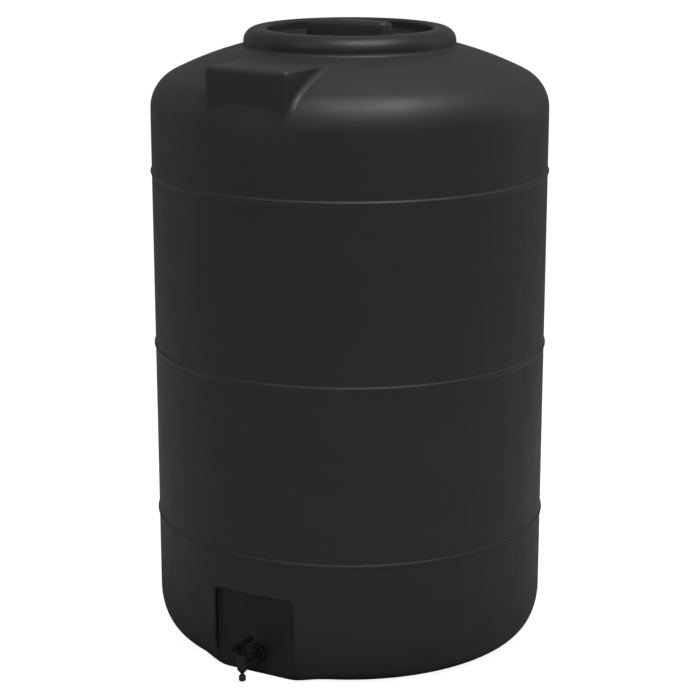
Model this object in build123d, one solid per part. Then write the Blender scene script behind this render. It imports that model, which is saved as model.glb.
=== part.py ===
from build123d import *
import os
from math import acos, asin, cos, degrees, radians, sin, sqrt

os.makedirs("parts", exist_ok=True)

# Upright rotomoulded water barrel of black polyethylene, with a screw lid and a plug tap.
# Frame: origin on the floor at the tank's axis, +Z up, the tap faces -Y. Sizes in mm.

# Tank: wall, bottom corner, shoulder and dome
tank_radius = 380.0
wall = 6.0
corner_width = 43.0
corner_height = 78.0
shoulder_start = 1033.7
shoulder_radius = 74.7
shoulder_turn = 63.46
dome_radius = 666.9

# Tank: bead ribs round the wall
first_rib = 242.6
rib_spacing = 338.0
rib_margin = 60.0
rib_width = 14.0
rib_depth = 3.0

# Tank: neck for the lid, and the collar round its foot
neck_radius = 180.0
neck_wall = 6.0
neck_rise = 21.8
collar_rise = 7.0
collar_slope = 7.0
collar_margin = 9.5

# Tank: raised boss with a flat face, above the tap
boss_setback = 15.5
boss_width = 178.6
boss_drop = 5.36
boss_margin = 60.0
boss_foot_rise = 6.3
boss_round = 8.5
boss_blend = 10.5
boss_angle = -1.35

# Tank: flat recess at the foot, for the tap
recess_depth = 24.7
recess_width = 170.4
recess_top = 163.4
recess_corner = 11.0
recess_inner_round = 4.0
recess_lip = 3.0

# Lid: rim, skirt, sunken pan and the rubber ring under the rim
lid_wall = 4.0
lid_clearance = 18.0
lid_gap = 0.5
lid_edge_round = 30.0
pan_gap = 12.2
pan_depth = 21.3
pan_lip_round = 6.0
pan_foot_chamfer = 3.0
seal_width = 5.7
seal_thickness = 3.0
seal_margin = 0.6
sleeve_clearance = 4.5
sleeve_wall = 3.0
sleeve_foot_rise = 2.0

# Lid: grip across the pan
grip_length = 180.0
grip_width = 50.0
grip_rise = 12.2
grip_corner = 23.0
grip_edge_round = 8.0
grip_draft = 12.0
grip_angle = 5.5

# Tap: through the recess wall
tap_height = 40.6
barrel_radius = 13.2
barrel_bore = 6.0
hole_clearance = 0.4
thread_clearance = 0.1
washer_radius = 19.0
washer_thickness = 3.0
nut_radius = 20.0
nut_thickness = 8.0
nut_chamfer = 1.0
nut_notches = 12
notch_radius = 1.6
locknut_flats = 36.0
thread_spare = 5.0
flange_radius = 15.0
flange_thickness = 4.0
arm_radius = 7.8
plug_reach = 55.5

# Tap: plug and the upright housing round it
plug_radius = 6.35
plug_clearance = 0.05
port_radius = 4.0
port_wall = 3.0
outlet_radius = 2.9
ring_section = 1.7
ring_groove = 2.0
ring_margin = 2.2
plug_land = 2.1
housing_wall = 3.2
housing_floor = 1.65
housing_neck_wall = 1.5
housing_neck_height = 4.4
step_clearance = 0.2
plug_proud = 0.5
spout_length = 6.0
spout_radius = 5.0

# Tap: cap that holds the plug down
cap_gap = 0.5
cap_thickness = 6.0
cap_wall = 1.2
cap_chamfer = 0.8
ring_seat = 2.0

# Tap: stem and handle
stem_radius = 3.5
stem_square = 4.6
head_entry = 0.8
hub_gap = 0.5
hub_radius = 9.7
hub_top_radius = 5.4
hub_skirt = 3.0
hub_height = 14.7
handle_length = 68.7
handle_width = 9.6
handle_thickness = 8.4
handle_chamfer = 1.3

# Tap: nozzle under the spout
nozzle_neck_radius = 3.4
nozzle_neck_length = 5.7
nozzle_radius = 6.6
nozzle_length = 11.2
nozzle_chamfer = 1.6
nozzle_bore = 1.8
spigot_gap = 0.5

# Widest difference at which two computed places count as the same
tiny = 0.01

# Turned form, worked out from the sizes above
shoulder_centre = (tank_radius - shoulder_radius, shoulder_start)
dome_offset = dome_radius - shoulder_radius
dome_centre = (
    shoulder_centre[0] - dome_offset * cos(radians(shoulder_turn)),
    shoulder_centre[1] - dome_offset * sin(radians(shoulder_turn)))
rib_count = 1 + int((shoulder_start - rib_margin - first_rib) / rib_spacing)
rib_heights = [first_rib + number * rib_spacing for number in range(rib_count)]

# Lid and collar round the neck, and the heights that rest on the dome
lid_radius = neck_radius + lid_clearance + lid_wall
collar_radius = lid_radius + collar_margin
pan_radius = neck_radius - neck_wall - pan_gap - lid_wall
collar_foot = dome_centre[1] + sqrt(dome_radius ** 2 - (collar_radius - dome_centre[0]) ** 2)
collar_top = collar_foot + collar_rise
neck_top = collar_top + neck_rise
lid_top = neck_top + seal_thickness + lid_wall
lid_foot = collar_top + lid_gap
lid_foot_angle = degrees(asin((lid_foot - lid_top) / lid_edge_round + 1))
lid_foot_radius = lid_radius - lid_edge_round * (1 - cos(radians(lid_foot_angle)))
pan_floor = lid_top - pan_depth
grip_top = lid_top + grip_rise

# Boss and recess on the wall
boss_face = tank_radius - boss_setback
boss_back = collar_radius - boss_margin
boss_top = collar_foot - boss_drop
boss_foot = shoulder_start + boss_foot_rise
recess_face = tank_radius - recess_depth

# Tap, above and below its flow axis
nut_bore = barrel_radius + thread_clearance
plug_bore = plug_radius + plug_clearance
ring_offset = port_radius + ring_groove / 2 + ring_margin
groove_radius = plug_radius - ring_section
plug_ring_heights = (tap_height - ring_offset, tap_height + ring_offset)
plug_foot = tap_height - ring_offset - ring_groove / 2 - plug_land
housing_foot = plug_foot - plug_clearance - housing_floor
housing_radius = plug_bore + housing_wall
housing_step = tap_height + arm_radius + step_clearance
housing_neck_radius = plug_bore + housing_neck_wall
housing_top = housing_step + housing_neck_height
plug_top = housing_top + plug_proud
cap_roof = plug_top + cap_gap
cap_top = cap_roof + cap_thickness
cap_bore = housing_neck_radius + thread_clearance
cap_radius = cap_bore + cap_wall
spout_foot = housing_foot - spout_length
nozzle_top = spout_foot - nozzle_neck_length
nozzle_foot = nozzle_top - nozzle_length
hub_foot = cap_top + hub_gap
bar_foot = hub_foot + hub_height
stem_head = bar_foot + head_entry


def turned(edges):
    """Revolves a closed outline, given as edges in the radius and height plane, about +Z."""
    return revolve(make_face(edges), Axis.Z)


def upright(point):
    """Puts a (radius, height) point in the XZ plane."""
    return (point[0], 0, point[1])


def line(start, end):
    """Straight edge between two (radius, height) points."""
    return Line(upright(start), upright(end))


def bow(start, middle, end):
    """Circular edge through three (radius, height) points."""
    return ThreePointArc(upright(start), upright(middle), upright(end))


def on_arc(centre, radius, angle):
    """Point of a circle in the radius and height plane, the angle in degrees from outward."""
    return (centre[0] + radius * cos(radians(angle)), centre[1] + radius * sin(radians(angle)))


def arc(centre, radius, start, end):
    """Circular edge about a (radius, height) centre, between two angles in degrees."""
    return bow(*(on_arc(centre, radius, angle) for angle in (start, (start + end) / 2, end)))


def tank_outline(inset, ribs, top_radius, closing):
    """Skin of the turned tank, moved inwards by inset, up to top_radius on the dome.

    ribs lists the heights of the beads, and closing the (radius, height) points past the dome.
    """
    radius = tank_radius - inset
    corner = Plane.XZ * EllipticalCenterArc(
        (tank_radius - corner_width, corner_height),
        corner_width - inset, corner_height - inset, 270, arc_size=90)
    edges = [line((0, inset), (tank_radius - corner_width, inset)), corner]
    at = (radius, corner_height)
    for height in ribs:
        foot = (radius, height - rib_width / 2)
        head = (radius, height + rib_width / 2)
        edges += [line(at, foot), bow(foot, (radius + rib_depth, height), head)]
        at = head
    edges.append(line(at, (radius, shoulder_start)))
    edges.append(arc(shoulder_centre, shoulder_radius - inset, 0, shoulder_turn))
    large = dome_radius - inset
    end = degrees(acos((top_radius - dome_centre[0]) / large))
    edges.append(arc(dome_centre, large, shoulder_turn, end))
    at = on_arc(dome_centre, large, end)
    for point in closing + [(0, inset)]:
        edges.append(line(at, point))
        at = point
    return edges


def edges_where(shape, test):
    """Edges of a shape whose middle point passes a test."""
    return [edge for edge in shape.edges() if test(edge @ 0.5)]


def at_radius(point):
    """Distance of a point from the tank's axis."""
    return (point.X ** 2 + point.Y ** 2) ** 0.5


def tank_turning():
    """Outside of the turned tank as a filled solid: wall, ribs, dome, collar and neck."""
    closing = [
        (collar_radius - collar_slope, collar_top), (neck_radius, collar_top),
        (neck_radius, neck_top), (0, neck_top)]
    return turned(tank_outline(0, rib_heights, collar_radius, closing))


def tank_cavity():
    """Inside of the turned tank as a filled solid, open through the neck.

    The hot plastic fills the shallow beads, so the inside is plain behind them.
    """
    mouth = neck_radius - neck_wall
    return turned(tank_outline(wall, [], mouth, [(mouth, neck_top + wall), (0, neck_top + wall)]))


def boss_block(inset, rounding):
    """The raised boss as a block that reaches into the dome; inset shrinks its outer faces."""
    width = boss_width - 2 * inset
    depth = boss_face - inset - boss_back
    height = boss_top - inset - boss_foot
    block = Pos(0, -boss_back - depth / 2, boss_foot + height / 2) * Box(width, depth, height)
    if not rounding:
        return block
    shown = edges_where(block, lambda at: at.Y < -boss_back - tiny and at.Z > boss_foot + tiny)
    return fillet(shown, rounding)


def with_boss(block):
    """Adds the boss, and rounds the hollow line where its sides rise from the dome."""
    block += boss_block(0, boss_round)
    top_of_sides = boss_top - boss_round
    sides = edges_where(block, lambda at: abs(abs(at.X) - boss_width / 2) < tiny
                        and at.Y > -boss_face + 2 * boss_round
                        and boss_foot < at.Z < top_of_sides - tiny)
    return fillet(sides, boss_blend)


def recess_block(outset, corner, rounding):
    """What the tap recess takes away; outset grows it, for the wall behind it."""
    width = recess_width + 2 * outset
    back = recess_face - outset
    depth = tank_radius - back + wall
    height = recess_top + outset + wall
    block = Pos(0, -back - depth / 2, height / 2 - wall) * Box(width, depth, height)
    top_corners = block.edges().filter_by(Axis.Y).sort_by(Axis.Z)[-2:]
    block = fillet(top_corners, corner)
    if not rounding:
        return block
    back_edges = edges_where(block, lambda at: abs(at.Y + back) < tiny and at.Z > -wall + tiny)
    return fillet(back_edges, rounding)


def with_recess(block):
    """Cuts the tap recess, and rounds its edge on the upright wall."""
    block -= recess_block(0, recess_corner, recess_inner_round)
    edge = edges_where(block, lambda at: at_radius(at) > tank_radius - tiny
                       and abs(at.X) < recess_width / 2 + tiny and at.Y < -recess_face
                       and corner_height < at.Z < recess_top + tiny)
    return fillet(edge, recess_lip)


def tank_shell():
    """The tank as one rotomoulding of even wall, with the tap's hole through the recess."""
    turn = Rot(0, 0, boss_angle)
    block = with_recess(turn * with_boss(tank_turning()))
    cavity = tank_cavity() + turn * boss_block(wall, 0)
    cavity -= recess_block(wall, recess_corner + wall, 0)
    hole = along_tap(-2 * wall, wall, barrel_radius + hole_clearance)
    return block - cavity - hole


def lid_outside():
    """Upper skin of the lid from its foot to the pan's middle, as edges."""
    edge_centre = (lid_radius - lid_edge_round, lid_top - lid_edge_round)
    lip_centre = (pan_radius + pan_lip_round, lid_top - pan_lip_round)
    return [
        arc(edge_centre, lid_edge_round, lid_foot_angle, 90),
        line((edge_centre[0], lid_top), (lip_centre[0], lid_top)),
        arc(lip_centre, pan_lip_round, 90, 180),
        line((pan_radius, lip_centre[1]), (pan_radius, pan_floor + pan_foot_chamfer)),
        line((pan_radius, pan_floor + pan_foot_chamfer), (pan_radius - pan_foot_chamfer, pan_floor)),
        line((pan_radius - pan_foot_chamfer, pan_floor), (0, pan_floor)),
    ]


def lid_inside():
    """Under skin of the lid, one wall inside the upper one, as edges.

    Its corners are straight, and the rim's flat reaches just past the rubber ring. A sleeve for the
    thread hangs round the neck.
    """
    skirt = lid_radius - lid_wall
    under_rim = lid_top - lid_wall
    pan_side = pan_radius + lid_wall
    under_pan = pan_floor - lid_wall
    slope = skirt - neck_radius - seal_margin
    sleeve = neck_radius + sleeve_clearance
    sleeve_side = sleeve + sleeve_wall
    sleeve_foot = lid_foot + sleeve_foot_rise
    corners = [
        (skirt, lid_foot), (skirt, under_rim - slope),
        (sleeve_side, under_rim - slope + skirt - sleeve_side), (sleeve_side, sleeve_foot),
        (sleeve, sleeve_foot), (sleeve, under_rim - slope + skirt - sleeve),
        (skirt - slope, under_rim), (pan_side, under_rim),
        (pan_side, pan_floor), (pan_radius, under_pan), (0, under_pan)]
    return [line(start, end) for start, end in zip(corners, corners[1:])]


def lid_grip(inset, rounding):
    """The grip as a filled block with rounded ends and drafted sides, from below the pan's floor."""
    floor = pan_floor - lid_wall
    plan = RectangleRounded(grip_length - 2 * inset, grip_width - 2 * inset, grip_corner - inset)
    block = Pos(0, 0, floor) * extrude(plan, grip_top - inset - floor, taper=grip_draft)
    top = block.faces().sort_by(Axis.Z)[-1].edges()
    return fillet(top, rounding) if rounding else block


def lid():
    """Screw lid as one thin moulding: rounded rim, sunken pan, and a hollow grip across the pan."""
    foot = line((lid_foot_radius, lid_foot), (lid_radius - lid_wall, lid_foot))
    middle = line((0, pan_floor), (0, pan_floor - lid_wall))
    shell = turned(lid_outside() + lid_inside() + [foot, middle])
    turn = Rot(0, 0, grip_angle)
    return shell + turn * lid_grip(0, grip_edge_round) - turn * lid_grip(lid_wall, 0)


def lid_seal():
    """Flat rubber ring on the neck's top edge, under the flat of the lid's rim."""
    ring = Cylinder(neck_radius, seal_thickness) - Cylinder(neck_radius - seal_width, seal_thickness)
    return Pos(0, 0, neck_top + seal_thickness / 2) * ring


def along_tap(start, end, radius):
    """Cylinder along the tap's flow axis, from start to end outwards of the recess's face."""
    middle = recess_face + (start + end) / 2
    return Pos(0, -middle, tap_height) * Rot(90, 0, 0) * Cylinder(radius, end - start)


def on_plug(bottom, top, radius, top_radius=None):
    """Cylinder or cone on the plug's upright axis, between two heights."""
    place = Pos(0, -recess_face - plug_reach, (bottom + top) / 2)
    if top_radius is None:
        return place * Cylinder(radius, top - bottom)
    return place * Cone(radius, top_radius, top - bottom)


def square_on_plug(side, bottom, top):
    """Square bar on the plug's upright axis, between two heights."""
    return Pos(0, -recess_face - plug_reach, (bottom + top) / 2) * Box(side, side, top - bottom)


def ring_on_plug(height, inner_radius):
    """Square-cut rubber ring round the plug's axis, its middle at a height."""
    bottom, top = height - ring_section / 2, height + ring_section / 2
    return on_plug(bottom, top, inner_radius + ring_section) - on_plug(bottom, top, inner_radius)


def tap_outer_washer():
    """Rubber washer between the recess's face and the outer nut."""
    return along_tap(0, washer_thickness, washer_radius) - along_tap(0, washer_thickness, nut_bore)


def tap_outer_nut():
    """Round nut on the barrel, with finger notches round its edge."""
    start, end = washer_thickness, washer_thickness + nut_thickness
    nut = along_tap(start, end, nut_radius) - along_tap(start, end, nut_bore)
    nut = chamfer(nut.edges().filter_by(GeomType.CIRCLE).filter_by(
        lambda edge: abs(edge.radius - nut_radius) < tiny), nut_chamfer)
    notch = Pos(nut_radius, 0, 0) * Cylinder(notch_radius, 2 * nut_thickness)
    place = Pos(0, -recess_face - (start + end) / 2, tap_height) * Rot(90, 0, 0)
    for number in range(nut_notches):
        nut -= place * Rot(0, 0, 360 / nut_notches * number) * notch
    return nut


def tap_inner_washer():
    """Rubber washer on the inside of the wall."""
    start, end = -wall - washer_thickness, -wall
    return along_tap(start, end, washer_radius) - along_tap(start, end, nut_bore)


def tap_locknut():
    """Hexagon nut that clamps the wall from inside."""
    end = -wall - washer_thickness
    across_corners = locknut_flats / 2 / cos(radians(30))
    hexagon = RegularPolygon(across_corners, 6)
    place = Pos(0, -recess_face - end, tap_height) * Rot(-90, 0, 0)
    return place * extrude(hexagon, nut_thickness) - along_tap(end - nut_thickness, end, nut_bore)


def tap_body():
    """One moulding: threaded barrel, flange, arm and upright housing with its spout."""
    barrel_start = -wall - washer_thickness - nut_thickness - thread_spare
    barrel_end = washer_thickness + nut_thickness + thread_spare
    flange_end = barrel_end + flange_thickness
    body = along_tap(barrel_start, barrel_end, barrel_radius)
    body += along_tap(barrel_end, flange_end, flange_radius)
    body += along_tap(flange_end, plug_reach, arm_radius)
    body += on_plug(housing_foot, housing_step, housing_radius)
    body += on_plug(housing_step, housing_top, housing_neck_radius)
    body += on_plug(spout_foot, housing_foot, spout_radius, housing_radius)
    body -= along_tap(barrel_start, plug_reach - plug_bore - port_wall, barrel_bore)
    body -= along_tap(plug_reach - 2 * plug_bore, plug_reach, port_radius)
    body -= on_plug(plug_foot - plug_clearance, housing_top, plug_bore)
    return body - on_plug(spout_foot, plug_foot, outlet_radius)


def tap_nozzle():
    """Small hose nozzle: spigot inside the spout, slim neck and a wider grip for a hose."""
    spigot = on_plug(spout_foot, plug_foot - spigot_gap, outlet_radius)
    neck = on_plug(nozzle_top, spout_foot, nozzle_neck_radius)
    grip = on_plug(nozzle_foot, nozzle_top, nozzle_radius)
    grip = chamfer(grip.edges().filter_by(GeomType.CIRCLE), nozzle_chamfer)
    return spigot + neck + grip - on_plug(nozzle_foot, plug_foot, nozzle_bore)


def tap_plug():
    """Turning plug: an L-shaped way through it, ring grooves, and a stem with a square head."""
    plug = on_plug(plug_foot, plug_top, plug_radius)
    for height in plug_ring_heights:
        bottom, top = height - ring_groove / 2, height + ring_groove / 2
        plug -= on_plug(bottom, top, plug_radius) - on_plug(bottom, top, groove_radius)
    plug -= along_tap(plug_reach - 2 * plug_bore, plug_reach, port_radius)
    plug -= on_plug(plug_foot, tap_height, outlet_radius)
    plug += on_plug(plug_top, hub_foot, stem_radius)
    return plug + square_on_plug(stem_square, hub_foot, stem_head)


def tap_plug_rings():
    """The two rubber rings in the plug's grooves, above and below its way through."""
    return Compound([ring_on_plug(height, groove_radius) for height in plug_ring_heights])


def tap_cap():
    """Screw cap that holds the plug down in the housing; the stem passes through it."""
    cap = on_plug(housing_step, cap_top, cap_radius)
    cap = chamfer(cap.edges().filter_by(GeomType.CIRCLE).sort_by(Axis.Z)[-1], cap_chamfer)
    cap -= on_plug(housing_step, cap_roof, cap_bore)
    cap -= on_plug(cap_roof, cap_roof + ring_seat, stem_radius + ring_section + plug_clearance)
    return cap - on_plug(cap_roof, cap_top, stem_radius + plug_clearance)


def tap_stem_ring():
    """Rubber ring round the stem, in the cap's seat."""
    return ring_on_plug(cap_roof + ring_seat - ring_section / 2, stem_radius + plug_clearance)


def tap_handle():
    """T-handle: a round-ended bar on a hub that widens down to a skirt, on the square head."""
    plan = Rot(0, 0, 90) * SlotOverall(handle_length, handle_width)
    bar = Pos(0, -recess_face - plug_reach, bar_foot) * extrude(plan, handle_thickness)
    bar = chamfer(bar.faces().filter_by(Axis.Z).edges(), handle_chamfer)
    hub = on_plug(hub_foot, hub_foot + hub_skirt, hub_radius)
    hub += on_plug(hub_foot + hub_skirt, bar_foot, hub_radius, hub_top_radius)
    return bar + hub - square_on_plug(stem_square, hub_foot, stem_head)


pieces = {
    "tank_shell": tank_shell,
    "lid": lid,
    "lid_seal": lid_seal,
    "tap_body": tap_body,
    "tap_outer_washer": tap_outer_washer,
    "tap_outer_nut": tap_outer_nut,
    "tap_inner_washer": tap_inner_washer,
    "tap_locknut": tap_locknut,
    "tap_nozzle": tap_nozzle,
    "tap_cap": tap_cap,
    "tap_stem_ring": tap_stem_ring,
    "tap_plug": tap_plug,
    "tap_plug_rings": tap_plug_rings,
    "tap_handle": tap_handle,
}
for name, make in pieces.items():
    export_step(make(), f"parts/{name}.step")
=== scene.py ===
# %% [markdown]
# # A black water barrel, dressed in Blender
#
# The real object is a rotomoulded polyethylene tank: powder is melted inside a turning mould, so the
# skin is even, slightly wavy and satin, with no sharp corner anywhere. A moulded screw lid closes it,
# and a small plug tap sits in a recess at the foot. The solids arrive in a imported frame. This script
# makes finer surfaces round them, gives each its finish, and lights them like the photograph.

# %% Load the frame and list its nodes
from math import cos, pi, radians, sin

import bpy
import numpy as np
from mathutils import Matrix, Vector


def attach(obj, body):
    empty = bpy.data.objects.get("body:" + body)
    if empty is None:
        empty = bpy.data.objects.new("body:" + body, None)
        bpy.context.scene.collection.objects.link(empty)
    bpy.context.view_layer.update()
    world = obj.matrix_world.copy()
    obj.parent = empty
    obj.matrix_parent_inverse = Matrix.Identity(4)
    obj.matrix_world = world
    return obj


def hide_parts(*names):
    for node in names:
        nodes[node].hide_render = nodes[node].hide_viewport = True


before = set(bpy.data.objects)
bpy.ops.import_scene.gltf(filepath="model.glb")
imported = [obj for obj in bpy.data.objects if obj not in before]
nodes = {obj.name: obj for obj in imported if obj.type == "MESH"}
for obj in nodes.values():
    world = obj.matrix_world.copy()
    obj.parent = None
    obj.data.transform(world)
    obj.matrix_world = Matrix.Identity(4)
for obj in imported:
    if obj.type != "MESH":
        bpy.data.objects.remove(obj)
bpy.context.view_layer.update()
print("nodes:", ", ".join(sorted(nodes)))

# %% [markdown]
# ## Camera
#
# The photograph was taken from standing height, a few metres away, with the lens pitched down. A long
# lens keeps the barrel's sides nearly parallel. The angle, distance and lens below were fitted to the
# outlines and ribs in the photograph, because guessing them by eye bends every proportion a little.

# %% Camera
view_turn = radians(29.3)
view_pitch = radians(14.75)
view_distance = 3.976
view_height = 1.5977
aim_offset = radians(0.005)
sensor_width, focal_length = 36.0, 107.3

camera = bpy.data.objects.new("camera", bpy.data.cameras.new("camera"))
bpy.context.scene.collection.objects.link(camera)
camera.data.sensor_width = sensor_width
camera.data.lens = focal_length
camera.location = (sin(view_turn) * view_distance, -cos(view_turn) * view_distance, view_height)
camera.rotation_euler = (pi / 2 - view_pitch, 0, view_turn - aim_offset)
bpy.context.scene.camera = camera
print("camera at", [round(x, 3) for x in camera.location])

# %% [markdown]
# ## From a grid of points to a mesh
#
# Every new surface here is a function of two parameters: row i runs along a profile, column j runs
# round the piece. The function returns an array of points, rows by columns by three, and one helper
# turns that array into quads. Columns close on themselves, and a first or last row that lies at one
# point becomes a pole with a fan of triangles, so each piece is a closed skin.

# %% Helper: a closed grid of points becomes a smooth mesh
mm = 0.001


def grid_mesh(name, points, material):
    """Mesh from an array (rows, columns, 3) in millimetres, closed round the columns.

    The first and last rows become poles at their mean point. Vertex (i, j) has the number
    i * columns + j, and quad (i, j) joins it to the next row and the next column.
    """
    rows, columns = points.shape[:2]
    i, j = np.meshgrid(np.arange(rows - 1), np.arange(columns), indexing="ij")
    k = (j + 1) % columns
    corners = [i * columns + j, i * columns + k, (i + 1) * columns + k, (i + 1) * columns + j]
    quads = np.stack(corners, -1).reshape(-1, 4)
    poles = points[[0, -1]].mean(axis=1)
    first, last = rows * columns, rows * columns + 1
    ring = np.arange(columns)
    after = (ring + 1) % columns
    top = (rows - 1) * columns
    start_fan = np.stack([np.full(columns, first), after, ring], -1)
    end_fan = np.stack([np.full(columns, last), top + ring, top + after], -1)
    vertices = np.vstack([points.reshape(-1, 3), poles]) * mm
    faces = quads.tolist() + start_fan.tolist() + end_fan.tolist()
    mesh = bpy.data.meshes.new(name)
    mesh.from_pydata(vertices.tolist(), [], faces)
    mesh.shade_smooth()
    mesh.materials.append(material)
    piece = bpy.data.objects.new(name, mesh)
    bpy.context.scene.collection.objects.link(piece)
    print(name, "has", len(faces), "faces")
    return piece


# %% Helpers: spacing and easing
def graded(*stops):
    """Rising positions from (position, step) stops: from each stop to the next, at about its step."""
    parts = []
    for (start, step), (end, _) in zip(stops, stops[1:]):
        count = max(int(np.ceil((end - start) / step)), 1)
        parts.append(np.linspace(start, end, count, endpoint=False))
    return np.concatenate(parts + [[stops[-1][0]]])


def smooth_step(x):
    """0 below 0, 1 above 1, and an even S between: x * x * (3 - 2 * x)."""
    x = np.clip(x, 0, 1)
    return x * x * (3 - 2 * x)


print("graded spacing:", graded((0, 5), (10, 10), (30, 1)), "and the S at a quarter:", smooth_step(0.25))

# %% [markdown]
# ## Finishes
#
# Black polyethylene is coloured right through with carbon black. Its colour hardly varies, so what
# the eye reads is the gloss: a satin skin, a little rougher in patches, with the fine grain that the
# mould's blasted wall leaves and long shallow waves from cooling. Pictures could carry all this, but
# patterns worked out from real sizes in millimetres, in object space, stay sharp at any distance and
# stay put when the piece moves.

# %% Helpers: colours and nodes
def srgb(code):
    """Linear colour, with alpha, of an sRGB hex code such as '#262626'."""
    parts = np.array([int(code[k:k + 2], 16) for k in (1, 3, 5)]) / 255
    linear = np.where(parts <= 0.04045, parts / 12.92, ((parts + 0.055) / 1.055) ** 2.4)
    return (*linear.tolist(), 1.0)


def add_node(tree, kind, settings=None, inputs=None):
    """Adds one node, sets its properties and sockets, and links any socket given another socket."""
    node = tree.nodes.new(kind)
    for key, value in (settings or {}).items():
        setattr(node, key, value)
    for key, value in (inputs or {}).items():
        if isinstance(value, bpy.types.NodeSocket):
            tree.links.new(value, node.inputs[key])
        else:
            node.inputs[key].default_value = value
    return node


print("#262626 in linear light:", round(srgb("#262626")[0], 4))

# %% A moulded thermoplastic
# Widths of the patterns in millimetres: patches of tone, patches left by hands, and cooling waves.
patch_mm, hand_mm, wave_mm = 140, 45, 260
# Noise keeps mostly between these two values, so they are spread over the whole range.
noise_low, noise_high = 0.3, 0.7


def moulded_plastic(name, dark, light, roughness, grain_mm, grain_depth, wave_depth=0.0, ior=1.51):
    """A black thermoplastic: two close tones, patchy gloss, fine grain and long cooling waves.

    dark and light are hex tones, roughness a pair, grain_mm the grain's width, and the depths
    are the heights of the grain and of the waves in millimetres.
    """
    material = bpy.data.materials.new(name)
    material.use_nodes = True
    tree = material.node_tree
    shader = tree.nodes["Principled BSDF"]
    shader.inputs["IOR"].default_value = ior
    place = add_node(tree, "ShaderNodeTexCoord").outputs["Object"]

    # Noise in object space, by its width in millimetres, its detail and its roughness
    looks = {"patches": (patch_mm, 3.0, 0.5), "hands": (hand_mm, 4.0, 0.6), "grain": (grain_mm, 2.0, 0.5)}
    if wave_depth:
        looks["waves"] = (wave_mm, 1.0, 0.5)
    noise = {}
    for key, (width, detail, rough) in looks.items():
        noise[key] = add_node(tree, "ShaderNodeTexNoise", None, {
            "Vector": place, "Scale": 1 / (width * mm), "Detail": detail,
            "Roughness": rough}).outputs["Fac"]

    # Two of the patterns steer the tone and the roughness
    steer = {}
    for key, low, high in (("patches", 0.0, 1.0), ("hands", *roughness)):
        steer[key] = add_node(tree, "ShaderNodeMapRange", None, {
            "Value": noise[key], "From Min": noise_low, "From Max": noise_high,
            "To Min": low, "To Max": high}).outputs["Result"]
    tone = add_node(tree, "ShaderNodeMix", {"data_type": "RGBA"}, {
        "Factor": steer["patches"], 6: srgb(dark), 7: srgb(light)})
    tree.links.new(tone.outputs[2], shader.inputs["Base Color"])
    tree.links.new(steer["hands"], shader.inputs["Roughness"])

    # The other two lift the skin
    relief = add_node(tree, "ShaderNodeBump", None, {
        "Strength": 1.0, "Distance": grain_depth * mm, "Height": noise["grain"]})
    if wave_depth:
        relief = add_node(tree, "ShaderNodeBump", None, {
            "Strength": 1.0, "Distance": wave_depth * mm, "Height": noise["waves"],
            "Normal": relief.outputs["Normal"]})
    tree.links.new(relief.outputs["Normal"], shader.inputs["Normal"])
    print("material", name)
    return material


# %% Painted shade in a panel of the skin
def paint_recess_shade(material, half_width, top, front, tone, share):
    """Darkens the skin in a panel |x| < half_width, z < top, y < front (mm), most near its top.

    This is painted shade: the face sunk in the recess lies in the shade of its top lip, so its colour is
    darkened there.
    The mask is the product of four ramps, one for each side and one that grows with the height.
    """
    tree = material.node_tree
    shader = tree.nodes["Principled BSDF"]
    place = add_node(tree, "ShaderNodeTexCoord").outputs["Object"]
    parts = add_node(tree, "ShaderNodeSeparateXYZ", None, {"Vector": place}).outputs
    aside = add_node(tree, "ShaderNodeMath", {"operation": "ABSOLUTE"}, {0: parts["X"]}).outputs["Value"]
    soft = 2.5
    least, grow_from, grow_to = 0.35 * share, 10.0, 0.85 * top
    ramps = (
        (aside, 1.0, 0.0, half_width - soft, half_width + soft),
        (parts["Z"], 1.0, 0.0, top - soft, top + soft),
        (parts["Z"], least, share, grow_from, grow_to),
        (parts["Y"], 1.0, 0.0, front - soft, front + soft))
    mask = 1.0
    for value, low, high, start, end in ramps:
        factor = add_node(tree, "ShaderNodeMapRange", None, {
            "Value": value, "From Min": start * mm, "From Max": end * mm,
            "To Min": low, "To Max": high}).outputs["Result"]
        product = add_node(tree, "ShaderNodeMath", {"operation": "MULTIPLY"}, {0: mask, 1: factor})
        mask = product.outputs["Value"]
    plain = shader.inputs["Base Color"].links[0].from_socket
    mixed = add_node(tree, "ShaderNodeMix", {"data_type": "RGBA"}, {
        "Factor": mask, 6: plain, 7: srgb(tone)})
    tree.links.new(mixed.outputs[2], shader.inputs["Base Color"])
    print("panel", 2 * half_width, "by", top, "mm in", material.name)


# %% Materials, one for each moulding
# Rotomoulded polyethylene: satin, finely blasted, with long waves from cooling.
tank_plastic = moulded_plastic(
    "rotomoulded_black_polyethylene", "#242424", "#272727", roughness=(0.48, 0.58),
    grain_mm=2.6, grain_depth=0.02, wave_depth=0.9)
# Painted shade on the tap's recess, darkest under its top lip.
paint_recess_shade(tank_plastic, half_width=86.0, top=164.0, front=-340.0, tone="#090909", share=0.9)
# The lid is the same plastic, moulded a little smoother.
lid_plastic = moulded_plastic(
    "moulded_black_polyethylene", "#232323", "#272727", roughness=(0.41, 0.49),
    grain_mm=2.2, grain_depth=0.015, wave_depth=0.3, ior=1.44)
# Injection-moulded polypropylene of the tap: darker and even.
tap_plastic = moulded_plastic(
    "black_polypropylene", "#101010", "#141414", roughness=(0.45, 0.55), grain_mm=1.2, grain_depth=0.006)
# The handle is glass-filled, so a little duller.
handle_plastic = moulded_plastic(
    "glass_filled_polypropylene", "#080808", "#0c0c0c", roughness=(0.7, 0.8),
    grain_mm=0.9, grain_depth=0.008, ior=1.3)
# The nozzle is a smooth hard moulding.
nozzle_plastic = moulded_plastic(
    "smooth_black_nylon", "#202020", "#262626", roughness=(0.16, 0.22), grain_mm=1.0, grain_depth=0.003)
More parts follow.
